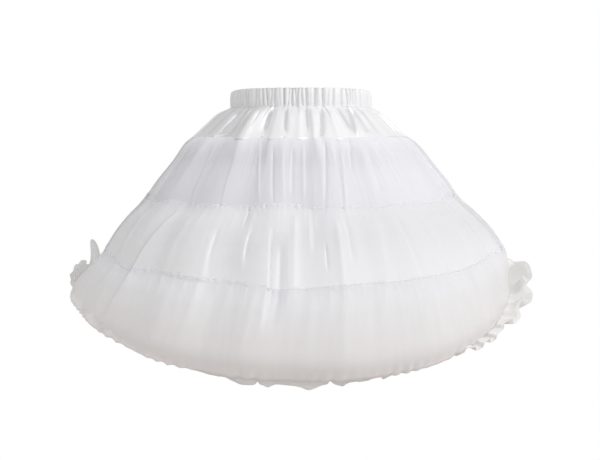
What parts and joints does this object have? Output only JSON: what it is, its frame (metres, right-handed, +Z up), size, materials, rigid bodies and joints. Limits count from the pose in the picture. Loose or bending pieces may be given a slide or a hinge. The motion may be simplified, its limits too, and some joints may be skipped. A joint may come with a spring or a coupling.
{
  "type": "tutu petticoat skirt",
  "caption": "Tiered tutu petticoat filled out as worn: ruched elastic waistband, satin yoke, gathered organza tiers, soft flounce, underskirt and fluted hem frill.",
  "frame": {"origin": "middle of the waist, half way up the elastic waistband, where the wearer holds the skirt", "axes": "+Z up along the body, -Y towards the skirt's front, X from side to side, along its widest extent"},
  "size_m": [0.7056, 0.6176, 0.3782],
  "materials": {
    "band_satin": "satin, ruched",
    "yoke_satin": "smooth satin",
    "organza": "sheer crisp organza",
    "soft_tulle": "soft matt tulle",
    "lining": "smooth lining satin",
    "crisp_tulle": "stiff crisp tulle"
  },
  "bodies": {
    "root": {"waistband": "band_satin", "yoke": "yoke_satin", "tier_1": "organza", "tier_2": "organza", "tier_3": "soft_tulle", "underskirt": "lining", "hem_frill": "crisp_tulle"}
  },
  "joints": []
}
